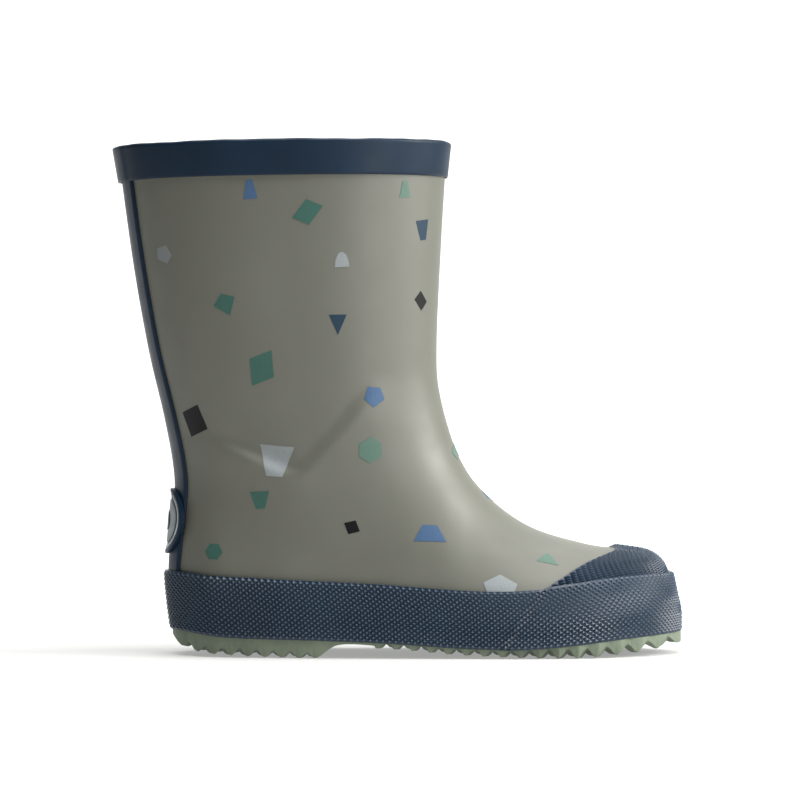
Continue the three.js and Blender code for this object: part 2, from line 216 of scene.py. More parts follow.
def depth(p):
    """Below zero inside the skin, above zero outside it."""
    return (p[..., 1] - centre_at(p[..., 0], p[..., 2])) ** 2 - half_width_squared(p[..., 0], p[..., 2])


def slope(p, step=0.3):
    moves = np.eye(3) * step
    return np.stack([(depth(p + m) - depth(p - m)) / (2 * step) for m in moves], -1)


def unit(v):
    return v / np.maximum(np.linalg.norm(v, axis=-1, keepdims=True), 1e-9)


def normal_at(p):
    return unit(slope(p))


def onto_skin(p, rounds=5):
    for _ in range(rounds):
        g = slope(p)
        p = p - g * (depth(p) / np.maximum((g * g).sum(-1), 1e-6))[..., None]
    return p


def skin_at(x, z, side):
    """Points of the skin over points of the side view, on one side or the other."""
    half = np.sqrt(np.maximum(half_width_squared(x, z), 0))
    return np.stack(np.broadcast_arrays(x, centre_at(x, z) + side * half, z), -1)


def walk_over_skin(start, sideways, upwards, a, b, steps=8):
    """Points reached from start by going a distance a and b over the skin, as a label laid on it would."""
    p = np.broadcast_to(start, a.shape + (3,)).copy()
    far = np.hypot(a, b)
    way = (a[..., None] * sideways + b[..., None] * upwards) / np.maximum(far, 1e-9)[..., None]
    for _ in range(steps):
        n = normal_at(p)
        way = unit(way - n * (way * n).sum(-1, keepdims=True))
        p = onto_skin(p + way * (far / steps)[..., None], 3)
    return p


def lengths_along(points):
    """Distance of each point of a line from its first, along the line."""
    return np.concatenate([[0], np.cumsum(np.linalg.norm(np.diff(points, axis=0), axis=1))])


class Path:
    """A line in the side view, measured along its length."""

    def __init__(self, points):
        self.points = np.asarray(points, float)
        self.lengths = lengths_along(self.points)
        self.total = self.lengths[-1]

    def at(self, s):
        return np.stack([np.interp(s, self.lengths, self.points[:, k]) for k in range(2)], -1)


# ---- Mesh building ----

WELD = 1e-3


def grid_faces(rows, columns):
    """Quads of a grid of points, rows down and columns across, facing out when the columns run heel to toe
    along the outer side and the rows run down."""
    index = np.arange(rows * columns).reshape(rows, columns)
    a, b, c, d = index[:-1, 1:], index[:-1, :-1], index[1:, :-1], index[1:, 1:]
    return np.stack([a, b, c, d], -1).reshape(-1, 4).tolist()


def turned_out(skin, faces):
    """The faces, all turned over if the middle one looks into the boot."""
    corners = skin.reshape(-1, 3)[faces[len(faces) // 2]]
    facing = np.cross(corners[1] - corners[0], corners[2] - corners[0])
    return faces if facing @ normal_at(corners[0]) > 0 else [f[::-1] for f in faces]


def welded(points, faces):
    """Joins points that coincide, and drops the faces that this flattens or lays back to back."""
    keys = np.round(points / WELD).astype(np.int64)
    _, first, index = np.unique(keys, axis=0, return_index=True, return_inverse=True)
    index = index.ravel()
    kept = []
    for face in faces:
        ring = []
        for corner in face:
            at = int(index[corner])
            if at not in ring:
                ring.append(at)
        if len(ring) > 2:
            kept.append(ring)
    uses = Counter(frozenset(ring) for ring in kept)
    return first, [ring for ring in kept if uses[frozenset(ring)] == 1]


def rims(faces):
    """Edges that belong to one face only, each in the direction of its face."""
    seen = {(a, b) for f in faces for a, b in zip(f, f[1:] + f[:1])}
    return [(a, b) for a, b in seen if (b, a) not in seen]


def piece(name, points, faces, material, sharp=40, values=None):
    mesh = bpy.data.meshes.new(name)
    mesh.from_pydata(((points + SHIFT) * MM).tolist(), [], faces)
    mesh.materials.append(material)
    if values is not None:
        relief = mesh.attributes.new("relief", "FLOAT", "POINT")
        relief.data.foreach_set("value", np.asarray(values, np.float32))
    if sharp:
        mesh.shade_smooth()
        mesh.set_sharp_from_angle(angle=math.radians(sharp))
    mesh.validate()
    made = bpy.data.objects.new(name, mesh)
    bpy.context.scene.collection.objects.link(made)
    return made


def sheet(name, outer, inner, faces, material, sharp=40, values=None):
    """One closed piece between two matching sets of points, walled along its rims."""
    outer, inner = outer.reshape(-1, 3), inner.reshape(-1, 3)
    first, kept = welded(outer, faces)
    outer, inner = outer[first], inner[first]
    many = len(outer)
    back = [[c + many for c in reversed(f)] for f in kept]
    walls = [[b, a, a + many, b + many] for a, b in rims(kept)]
    both = np.vstack([outer, inner])
    if values is not None:
        values = np.concatenate([values.ravel()[first], np.zeros(many)])
    return piece(name, both, kept + back + walls, material, sharp, values)


def between_offsets(name, skin, faces, outer, inner, material, **more):
    """A closed piece between two distances from the skin."""
    n = normal_at(skin)
    outer = np.broadcast_to(outer, skin.shape[:-1])[..., None]
    inner = np.broadcast_to(inner, skin.shape[:-1])[..., None]
    return sheet(name, skin + n * outer, skin + n * inner, faces, material, **more)


def under_edge(z, share, side, offset):
    """Places on the skin from which a surface at an offset reaches the heights z."""
    down = z
    for _ in range(3):
        x = back_at(down) + (front_at(down) - back_at(down)) * share
        skin = skin_at(x, down, side)
        down = z - normal_at(skin)[..., 2] * offset
    return x, skin


def round_edge(distance, radius):
    """How far a surface drops at a distance from its edge, for an edge rounded by a radius."""
    d = np.clip(distance, 0, radius)
    return radius - np.sqrt(np.maximum(radius**2 - (radius - d) ** 2, 0))


def waves(p, size, seed):
    """A slow, even wobble from -1 to 1 over a surface, with waves of about a size in millimetres."""
    turns = np.random.default_rng(seed).uniform(-1, 1, (5, 3))
    start = np.random.default_rng(seed + 1).uniform(0, 2 * math.pi, 5)
    return np.sin(p @ unit(turns).T * (2 * math.pi / size) + start).sum(-1) / 5


# ---- Materials ----


def linear(hex_colour):
    """sRGB hex to linear RGBA."""
    parts = [int(hex_colour[i : i + 2], 16) / 255 for i in (1, 3, 5)]
    return [c / 12.92 if c <= 0.04045 else ((c + 0.055) / 1.055) ** 2.4 for c in parts] + [1.0]


def tinted(colour, factor):
    return [min(c * factor, 1) for c in colour[:3]] + [1.0]


def add(tree, kind, links=None, **settings):
    """Adds a node with its settings, and sets or links its inputs."""
    node = tree.nodes.new("ShaderNode" + kind)
    for name, value in settings.items():
        setattr(node, name, value)
    for socket, value in (links or {}).items():
        if isinstance(value, bpy.types.NodeSocket):
            tree.links.new(value, node.inputs[socket])
        else:
            node.inputs[socket].default_value = value
    return node


def new_material(name):
    material = bpy.data.materials.new(name)
    material.use_nodes = True
    tree = material.node_tree
    tree.nodes.clear()
    place = add(tree, "TexCoord").outputs["Object"]
    return material, tree, place


def per_mm(size):
    """Texture scale, in cells per metre, of a pattern with cells of a size in millimetres."""
    return 1 / (size * MM)


def noise(tree, place, size, detail):
    """A soft random pattern with patches of a size in millimetres."""
    return add(tree, "TexNoise", {"Vector": place, "Scale": per_mm(size), "Detail": detail}).outputs["Fac"]


def mottled(tree, place, size, colours):
    """A colour that drifts between two, in patches of a size in millimetres."""
    ramp = add(tree, "ValToRGB", {"Fac": noise(tree, place, size, 3.0)})
    for stop, position, colour in zip(ramp.color_ramp.elements, (0.3, 0.7), colours):
        stop.position = position
        stop.color = colour
    return ramp.outputs["Color"]


def bump(tree, height, distance, strength, **more):
    """A fine unevenness, its height in millimetres."""
    inputs = {"Height": height, "Distance": distance * MM, "Strength": strength, **more}
    return add(tree, "Bump", inputs).outputs["Normal"]


def shade(tree, inputs):
    shader = add(tree, "BsdfPrincipled", inputs)
    add(tree, "OutputMaterial", {"Surface": shader.outputs["BSDF"]})


def moulded_rubber(name, colours, roughness, grain=0.6, grain_depth=0.012, patch=28, coat=0.0, relief=None,
                   gloss=0.5):
    """Vulcanised rubber. It drifts a little in colour where the filler settled, shines softly, and carries a
    fine grain from the mould. A relief colour lightens what stands proud: partly rubbed wear, partly a
    painted highlight on the points."""
    material, tree, place = new_material(name)
    colour = mottled(tree, place, patch, colours)
    if relief:
        # The relief colour is mixed in at the raised points: a painted highlight, with some rubbed wear.
        height = add(tree, "Attribute", attribute_name="relief").outputs["Fac"]
        peak_highlight_and_wear = add(tree, "MapRange", {"Value": height, "From Min": -0.2})
        both = {"Factor": peak_highlight_and_wear.outputs["Result"], 6: colour, 7: linear(relief)}
        mix = add(tree, "Mix", both, data_type="RGBA")
        colour = mix.outputs[2]
    rough = add(tree, "MapRange", {
        "Value": noise(tree, place, 9, 4.0), "From Min": 0.3, "From Max": 0.7,
        "To Min": roughness - 0.05, "To Max": roughness + 0.06,
    })
    swell = bump(tree, noise(tree, place, 14, 1.0), 0.25, 0.6)
    shade(tree, {
        "Base Color": colour, "Roughness": rough.outputs["Result"], "IOR": 1.52, "Specular IOR Level": gloss,
        "Coat Weight": coat, "Coat Roughness": 0.35,
        "Normal": bump(tree, noise(tree, place, grain, 2.0), grain_depth, 1.0, Normal=swell),
    })
    return material


def knitted_cotton(name, colours, stitch=1.1):
    """Cotton jersey: rows of small loops that soften the light, with no shine."""
    material, tree, place = new_material(name)
    colour = mottled(tree, place, 6, colours)
    wave = {"Vector": place, "Scale": per_mm(stitch) / 20, "Distortion": 1.5, "Detail": 1.0}
    rows, loops = (
        add(tree, "TexWave", wave, bands_direction=way).outputs["Fac"] for way in ("Z", "DIAGONAL")
    )
    knit = add(tree, "Math", {0: rows, 1: loops}, operation="MULTIPLY").outputs["Value"]
    shade(tree, {
        "Base Color": colour, "Roughness": 0.92, "Sheen Weight": 0.2, "Normal": bump(tree, knit, 0.2, 0.8),
    })
    return material


def printed_ink(name, colour):
    """Screen-printed rubber ink: a flat colour with a faint fleck, duller than the skin round it."""
    material, tree, place = new_material(name)
    base = linear(colour)
    fleck = mottled(tree, place, 0.7, (tinted(base, 0.93), tinted(base, 1.04)))
    shade(tree, {"Base Color": fleck, "Roughness": 0.48, "IOR": 1.5, "Specular IOR Level": 0.25})
    return material


# ---- Settings ----


def colour_setting(name, description, hex_colour):
    return FloatVectorProperty(
        name=name, description=description, default=linear(hex_colour), size=4, min=0, max=1, subtype="COLOR"
    )


LONGEST = 10


def length_setting(name, description, millimetres):
    return FloatProperty(
        name=name, description=description, default=millimetres * MM, min=0, max=LONGEST * MM, unit="LENGTH",
        precision=5,
    )


class BootSettings(bpy.types.PropertyGroup):
    """Sizes and colours of the boot that a user would change."""

    upper_colour: colour_setting("Upper", "Colour of the upper's rubber", "#606158")
    trim_colour: colour_setting("Trim", "Colour of the binding, strip, cap and foxing", "#112436")
    sole_colour: colour_setting("Sole", "Colour of the outsole's rubber", "#6a7563")
    lining_colour: colour_setting("Lining", "Colour of the cotton lining", "#8f8b80")
    fold_height: length_setting("Ankle fold", "How far the fold at the ankle stands out", 1.15)
    knurl_pitch: length_setting("Knurl pitch", "Distance between the knurling's points round the boot", 2.3)
    knurl_height: length_setting("Knurl height", "Distance between the knurling's points up the boot", 1.68)
    knurl_depth: length_setting("Knurl depth", "Height of the knurling's points", 0.5)
    print_relief: length_setting("Print relief", "Thickness of the printed shapes", 0.11)
    key_power: FloatProperty(
        name="Key light", description="Power of the main light", default=26, min=0, unit="POWER"
    )


def settings():
    return bpy.context.scene.boot_settings


def finish_piece(made, slot, *nodes):
    """Sets a piece on the frame's one body and hides the solids that it stands for. The slot is not used."""
    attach(made, "root")
    if nodes:
        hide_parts(*nodes)
    return made


# ---- Upper ----

UPPER_TOP = COLLAR_HEIGHT - 1.5
BACK_DROP = 2
# The sections fan round the instep: distance down the back and under the foot, distance down the front.
FAN = [(0, 0), (88, 70), (138, 108), (170, 124), (222, 137), (292, 166), (330, 188)]
# The rows stand closest where the fold runs, given as distances over the fan.
FOLD_ROWS = (110, 200)
# The ankle fold, on both sides, as a line in the side view. It runs from the strip down and up to the instep.
FOLD_LINE = [
    (8.2, 80.5), (22, 73.4), (30.8, 69.4), (38.4, 66), (43.6, 64.2), (47.4, 64.4), (50.4, 67), (56.6, 73.8),
    (61.7, 79.2), (67.4, 86.4), (72.8, 93.2), (79, 100),
]
# Where each part of the fold's profile lies across the line, how wide it is and how high.
RIDGE_AT, RIDGE_ABOVE, RIDGE_BELOW, RIDGE_RISE = 1, 2.4, 8, 1.3
TROUGH_AT, TROUGH_WIDTH, TROUGH_DEPTH = -4.2, 3.4, 0.9
STEP_FROM, STEP_TO, STEP_EASE = -3.4, 2.6, 11
# Distance along the line over which the ridge turns into the step.
RIDGE_TO_STEP = (30, 50)


def fold_at(p):
    """Height of the ankle fold. Towards the back it is a rounded ridge under a shallow trough, and towards
    the instep a step, steep on its upper side and easing away below."""
    line = smooth(FOLD_LINE, 12)
    path = Path(line)
    flat = p[..., [0, 2]]
    away = np.full(flat.shape[:-1], 1e9)
    signed = np.zeros_like(away)
    along = np.zeros_like(away)
    for k in range(len(line) - 1):
        a, d = line[k], line[k + 1] - line[k]
        t = np.clip(((flat - a) @ d) / (d @ d), 0, 1)
        gap = flat - (a + t[..., None] * d)
        reach = np.hypot(gap[..., 0], gap[..., 1])
        closer = reach < away
        away = np.where(closer, reach, away)
        cross = d[0] * gap[..., 1] - d[1] * gap[..., 0]
        signed = np.where(closer, np.where(cross < 0, reach, -reach), signed)
        along = np.where(closer, path.lengths[k] + t * math.hypot(*d), along)
    step = smoothstep(STEP_FROM, STEP_TO, signed) * np.exp(-np.maximum(signed - STEP_TO, 0) / STEP_EASE)
    width = np.where(signed < RIDGE_AT, RIDGE_ABOVE, RIDGE_BELOW)
    ridge = RIDGE_RISE * np.exp(-(((signed - RIDGE_AT) / width) ** 2))
    ridge = ridge - TROUGH_DEPTH * np.exp(-(((signed - TROUGH_AT) / TROUGH_WIDTH) ** 2))
    share = smoothstep(*RIDGE_TO_STEP, along)
    ends = smoothstep(2, 26, along) * smoothstep(path.total, path.total - 18, along)
    return (ridge + (step - ridge) * share) * ends


def skin_swell(p):
    """How far the skin, slack from wear, stands off the moulded form, in millimetres."""
    high = smoothstep(24, 60, p[..., 2])
    low = smoothstep(176, 150, p[..., 2])
    slack = 0.16 * waves(p, 52, 3) * high * low
    return settings().fold_height / MM * fold_at(p) + slack


def upper_grid(rows=260, around=84):
    """The whole skin as a grid: rows from the collar to the toe, columns once round from the back."""
    back_top = UPPER_TOP - BACK_DROP
    heel = back_points[(back_points[:, 1] > seat_at(3)) & (back_points[:, 1] < back_top)]
    seat = smooth(SEAT_LINE)
    seat = seat[(seat[:, 0] > heel[-1, 0]) & (seat[:, 0] < TOE_X)]
    tip_point = [TOE_X, float(seat_at(TOE_X))]
    back = Path(np.vstack([[back_at(back_top), back_top], heel, seat, tip_point]))
    front = front_points[(front_points[:, 1] < UPPER_TOP) & (front_points[:, 1] > tip_point[1])]
    front = Path(np.vstack([[front_at(UPPER_TOP), UPPER_TOP], front, tip_point]))
    fan = np.array([*FAN, (back.total, front.total)], float)
    measure = lengths_along(fan)
    reach = np.linspace(0, measure[-1], 2000)
    low, high = FOLD_ROWS
    density = 1 + 1.5 * smoothstep(low - 20, low, reach) * smoothstep(high + 20, high, reach)
    count = np.cumsum(density)
    at = np.interp(np.linspace(count[0], count[-1], rows + 1), count, reach)
    starts = back.at(np.interp(at, measure, fan[:, 0]))[:, None]
    ends = front.at(np.interp(at, measure, fan[:, 1]))[:, None]
    _, share, side = eased(2 * around + 1, 2)
    flat = starts + (ends - starts) * share[None, :, None]
    skin = skin_at(flat[..., 0], flat[..., 1], side[None])
    skin[:, -1] = skin[:, 0]
    return skin.reshape(-1, 3), grid_faces(rows + 1, 2 * around + 1)


def upper_surface():
    """The upper's outer surface as a search tree, to lay the printed shapes on."""
    skin, faces = upper_grid()
    skin = skin + normal_at(skin) * skin_swell(skin)[:, None]
    return BVHTree.FromPolygons(skin.tolist(), faces)


class BOOT_OT_upper(bpy.types.Operator):
    """Moulded rubber upper with its ankle fold, and the knitted lining bonded inside it"""

    bl_idname = "boot.upper"
    bl_label = "Upper and lining"

    def execute(self, context):
        khaki = settings().upper_colour
        # Compression-moulded natural rubber, satin lacquered: soft broad highlights over an even khaki.
        lacquered = moulded_rubber(
            "lacquered_khaki_rubber", (tinted(khaki, 0.95), tinted(khaki, 1.05)), 0.5,
            grain=0.9, grain_depth=0.006, patch=34, coat=0.06,
        )
        lining = settings().lining_colour
        jersey = knitted_cotton("grey_cotton_jersey", (tinted(lining, 0.85), tinted(lining, 1.1)))
        skin, faces = upper_grid()
        swell = skin_swell(skin)
        rubber = between_offsets("upper_rubber", skin, faces, swell, swell - RUBBER, lacquered)
        finish_piece(rubber, "upper_rubber", "upper")
        outside, inside = swell - RUBBER - 0.04, swell - WALL + 0.06
        cloth = between_offsets("upper_lining", skin, faces, outside, inside, jersey)
        finish_piece(cloth, "insole_foam", "upper")
        return {"FINISHED"}


# ---- Printed shapes ----

INKS = {
    "green": "#375c53", "pale_green": "#536e63", "blue": "#405a7a", "navy": "#1c3344", "grey": "#777c7d",
    "white": "#868c8e", "dark": "#050509",
}
SHAPES = {
    "trapezium": [(-1, -1), (1, -1), (0.45, 1), (-0.45, 1)],
    "triangle": [(-1, -1), (1, -1), (0, 1)],
    "rhombus": [(0, -1), (1, 0), (0, 1), (-1, 0)],
    "slant": [(-1, -1), (0.5, -1), (1, 1), (-0.5, 1)],
    "hexagon": [(1, 0), (0.5, 1), (-0.5, 1), (-1, 0), (-0.5, -1), (0.5, -1)],
    "kite": [(-1, 0.3), (0, -1), (1, 0.3), (0, 1)],
    "pentagon": [(-0.7, -1), (0.7, -1), (1, 0.2), (0, 1), (-1, 0.2)],
    "block": [(-1, -1), (1, -1), (1, 1), (-1, 1)],
    "half_disc": [(math.cos(a), 2 * math.sin(a) - 1) for a in np.linspace(0, math.pi, 13)],
}
# Place along the boot and height in the side view, width, height, turn in degrees, shape, ink.
PRINTS = [
    (31, 162.5, 4.9, 6.6, 4, "trapezium", "blue"), (51, 154.7, 8.4, 7.8, -22, "slant", "green"),
    (84.7, 163, 4.6, 5.6, 0, "trapezium", "pale_green"), (91, 149.1, 6.6, 7, 184, "trapezium", "navy"),
    (0.6, 140.8, 7, 6, -16, "pentagon", "grey"), (62.8, 138.3, 5, 5.2, 3, "half_disc", "white"),
    (90.3, 124.4, 4.4, 5.4, 42, "block", "dark"), (22.4, 122.7, 8.2, 8.2, 24, "kite", "green"),
    (61.4, 115.7, 6.2, 7, 180, "triangle", "navy"), (35, 100.7, 11, 9, 22, "slant", "green"),
    (73.6, 91.3, 7.2, 7, 33, "pentagon", "blue"), (11, 82.3, 8.2, 9.2, 28, "block", "dark"),
    (39.8, 68.4, 12.2, 10.6, 176, "trapezium", "white"), (72.6, 72.2, 9, 8, -30, "hexagon", "pale_green"),
    (34.3, 54.8, 7, 6, 183, "trapezium", "green"), (66.3, 45.4, 6.2, 5.4, -28, "rhombus", "dark"),
    (93.4, 43.3, 11.4, 5.8, 0, "trapezium", "blue"), (113.6, 55.8, 4.4, 6, 20, "kite", "blue"),
    (102.2, 71.6, 4, 6, 8, "half_disc", "pale_green"), (17.9, 36.7, 7, 5.4, -6, "hexagon", "green"),
    (117.8, 25.2, 12, 8.2, 0, "pentagon", "white"), (134.6, 34.4, 8, 5.2, -2, "triangle", "pale_green"),
]


# How far off the skin the search for the upper's surface starts, and how far the ink reaches into it.
RAY_START = 4
INK_SUNK = 0.1
INNER_TURN = 137
INNER_SHIFT = 1.5


def outline_of(shape, width, height, turn, spacing=0.7):
    """Points round a shape, its corners among them, about its centre."""
    corners = np.array(SHAPES[shape]) * (width / 2, height / 2)
    ring = np.vstack([corners, corners[:1]])
    path = Path(ring)
    many = max(int(path.total / spacing), 12)
    even = np.linspace(0, path.total, many, endpoint=False)
    points = path.at(np.unique(np.concatenate([even, path.lengths[:-1]])))
    c, s = math.cos(math.radians(turn)), math.sin(math.radians(turn))
    return points @ np.array([[c, s], [-s, c]])


def upwards_from(sideways, n):
    up = np.cross(sideways, n)
    return up if up[2] > 0 else -up


def print_on_skin(name, x, z, side, outline, ink, surface, rings=16):
    """A printed shape: its outline walked over the skin in rings, then laid on the upper's own surface."""
    start = skin_at(np.array(x), np.array(z), side)
    n = normal_at(start)
    sideways = np.array([-side, 0.0, 0.0])
    sideways = unit(sideways - n * (sideways @ n))
    upwards = upwards_from(sideways, n)
    share = np.linspace(0, 1, rings + 1)[:, None]
    ring = np.vstack([outline, outline[:1]])
    a, b = share * ring[:, 0], share * ring[:, 1]
    skin = walk_over_skin(start, sideways, upwards, a, b).reshape(-1, 3)
    faces = turned_out(skin, grid_faces(rings + 1, len(ring)))
    normals = normal_at(skin)
    hits = [surface.ray_cast(Vector(p + n * RAY_START), Vector(-n)) for p, n in zip(skin, normals)]
    laid = np.array([hit[0] if hit[0] else p for hit, p in zip(hits, skin)])
    top = laid + normals * settings().print_relief / MM
    return sheet(name, top, laid - normals * INK_SUNK, faces, ink, sharp=60)


class BOOT_OT_prints(bpy.types.Operator):
    """Small plain shapes printed over both sides of the upper"""

    bl_idname = "boot.prints"
    bl_label = "Printed shapes"

    def execute(self, context):
        inks = {name: printed_ink(f"screen_printed_{name}_ink", colour) for name, colour in INKS.items()}
        surface = upper_surface()
        for k, (x, z, width, height, turn, shape, ink) in enumerate(PRINTS):
            outline = outline_of(shape, width, height, turn)
            made = print_on_skin(f"print_outer_{k:02d}", x, z, -1, outline, inks[ink], surface)
            finish_piece(made, "upper_rubber")
            # The inner side carries the same shapes in mirrored places, turned, each in another's ink.
            outline = outline_of(shape, width, height, turn + INNER_TURN)
            other = inks[PRINTS[(k + 5) % len(PRINTS)][-1]]
            made = print_on_skin(f"print_inner_{k:02d}", x + INNER_SHIFT, z, 1, outline, other, surface)
            finish_piece(made, "upper_rubber")
        return {"FINISHED"}


# ---- Collar binding and back strip ----


def collar_top(x):
    return COLLAR_HEIGHT - 2 + (x + 30) * COLLAR_SLOPE


def trim_colours():
    trim = settings().trim_colour
    return tinted(trim, 0.86), tinted(trim, 1.12)


def smooth_trim():
    """Calendered rubber strip: smooth, a little cloudy, with a soft sheen."""
    name = "calendered_navy_rubber"
    return bpy.data.materials.get(name) or moulded_rubber(
        name, trim_colours(), 0.42, grain=0.7, grain_depth=0.005, patch=16, gloss=0.18
    )


class BOOT_OT_collar_binding(bpy.types.Operator):
    """Rubber binding folded over the collar's cut edge, overlapping itself at the back"""

    bl_idname = "boot.collar_binding"
    bl_label = "Collar binding"

    def execute(self, context):
        columns = 300
        turn, share, side = eased(columns + 1, 2)
        # Distance below the collar's top, and distance out from the skin, once round the folded strip.
        apron = [(BINDING_WIDTH - 0.35 + 0.35 * math.cos(a), 0.3 + 0.65 * (1 - math.sin(a)) / 2)
                 for a in np.linspace(math.pi / 2, -math.pi / 2, 5)]
        face = [(d, 0.95 + 0.55 * (1 - d / BINDING_WIDTH)) for d in np.linspace(BINDING_WIDTH - 0.9, 1.6, 12)]
        fold = [(1.1 - 1.1 * math.sin(a), 0.4 + 1.1 * math.cos(a)) for a in np.linspace(0.2, math.pi / 2, 7)]
        inside = [(0.9 - 0.9 * math.sin(a), -WALL + 0.9 - 0.9 * math.cos(a))
                  for a in np.linspace(math.pi / 2, 0, 6)]
        under = [(1.3, -WALL), (1.3, 0.3), (3, 0.3)]
        profile = np.array([*apron, *face, *fold, *inside, *under])
        down, out = profile[:, 0][:, None], profile[:, 1][:, None]
        low, high = back_at(COLLAR_HEIGHT), front_at(COLLAR_HEIGHT)
        x_collar = low + (high - low) * share
        ripple = 0.1 * np.sin(turn * 5 + 0.6) + 0.07 * np.sin(turn * 11 + 2) + 0.05 * np.sin(turn * 27)
        z = collar_top(x_collar)[None] + ripple * (1 - down / BINDING_WIDTH) - down
        x = back_at(z) + (front_at(z) - back_at(z)) * share[None]
        skin = skin_at(x, z, side[None])
        outside = (out > 0.4) * 1.0
        over_strip = (STRIP_PROUD + 0.1) * smoothstep(2, -13, x)
        along = skin[0, :, 0] - low
        lap = 0.42 * smoothstep(6.2, 4.6, along) * (side < 0)
        wobble = 0.12 * waves(skin, 21, 8)
        rise = out + outside * (over_strip + lap[None] + wobble) + (1 - outside) * (out > 0.2) * over_strip
        points = (skin + normal_at(skin) * rise[..., None])[:, :-1]
        rows = len(profile)
        index = np.arange(rows * columns).reshape(rows, columns)
        nxt, right = np.roll(index, -1, 0), np.roll(index, -1, 1)
        faces = np.stack([index, right, np.roll(nxt, -1, 1), nxt], -1).reshape(-1, 4).tolist()
        made = piece("collar_binding_rubber", points.reshape(-1, 3), faces, smooth_trim())
        finish_piece(made, "trim_rubber", "collar_binding")
        return {"FINISHED"}


def back_skin(y, z, rounds=40):
    """Points of the skin at the back of the boot, from how far across and how high they are."""
    low, high = back_at(z) + 0 * y, (back_at(z) + front_at(z)) / 2 + 0 * y
    for _ in range(rounds):
        middle = (low + high) / 2
        inside = (y - centre_at(middle, z)) ** 2 <= half_width_squared(middle, z)
        high, low = np.where(inside, middle, high), np.where(inside, low, middle)
    return np.stack([high, y + 0 * z, z + 0 * y], -1)


class BOOT_OT_back_strip(bpy.types.Operator):
    """Rubber strip up the back, rounded at its edges, tucked under the foxing and the binding"""

    bl_idname = "boot.back_strip"
    bl_label = "Back strip"

    def execute(self, context):
        z = np.linspace(178, 12, 150)[:, None]
        across = np.sin(np.linspace(math.pi / 2, -math.pi / 2, 41))[None]
        half = 11.3 + 3.3 * (z + 10) / (ABOVE_COLLAR + 15)
        skin = back_skin(across * half, z)
        edge = (1 - np.abs(across)) * half
        outer = STRIP_PROUD * 1.06 - round_edge(edge, 1.0) + 0.12 * smoothstep(2, 10, edge)
        outer = np.maximum(outer, 0.1) + skin_swell(skin)
        faces = grid_faces(*outer.shape)
        made = between_offsets("back_strip_rubber", skin, faces, outer, 0.02, smooth_trim(), sharp=60)
        finish_piece(made, "trim_rubber", "back_strip")
        return {"FINISHED"}


# ---- Knurled toe cap and foxing ----


def knurled_trim():
    """Rubber rolled on a diamond-engraved cylinder: each point catches the light, the valleys stay dark."""
    name = "diamond_rolled_navy_rubber"
    # The relief colour #42596e lightens the knurl points: a painted highlight, with some rubbed wear.
    return bpy.data.materials.get(name) or moulded_rubber(
        name, trim_colours(), 0.38, grain=0.5, grain_depth=0.006, patch=18, relief="#42596e", gloss=0.45
    )


def knurl(rows, columns):
    """Relief of the knurling on a grid at half its pitch: one at each point, minus one in each valley."""
    i, j = np.meshgrid(np.arange(rows), np.arange(columns), indexing="ij")
    relief = np.where((i + j) % 2 == 0, 1.0, -1.0)
    inside = (i > 0) & (i < rows - 1)
    return np.where(inside, relief, 0.0)


def knurl_faces(rows, columns):
    """The grid's cells, each cut in two along the diagonal that joins its valleys."""
    faces = []
    for i in range(rows - 1):
        for j in range(columns - 1):
            a, b = i * columns + j, i * columns + j + 1
            c, d = a + columns, b + columns
            faces += [[b, a, d], [a, c, d]] if (i + j) % 2 else [[b, a, c], [b, c, d]]
    return faces


def cap_edge_x(z, side, y):
    """Where the toe cap's rear edge lies, turned with the axis of the forefoot."""
    x = cap_edge_at(z)
    return CAP_PIVOT + (x - CAP_PIVOT - y * math.sin(CAP_TURN)) / math.cos(CAP_TURN)


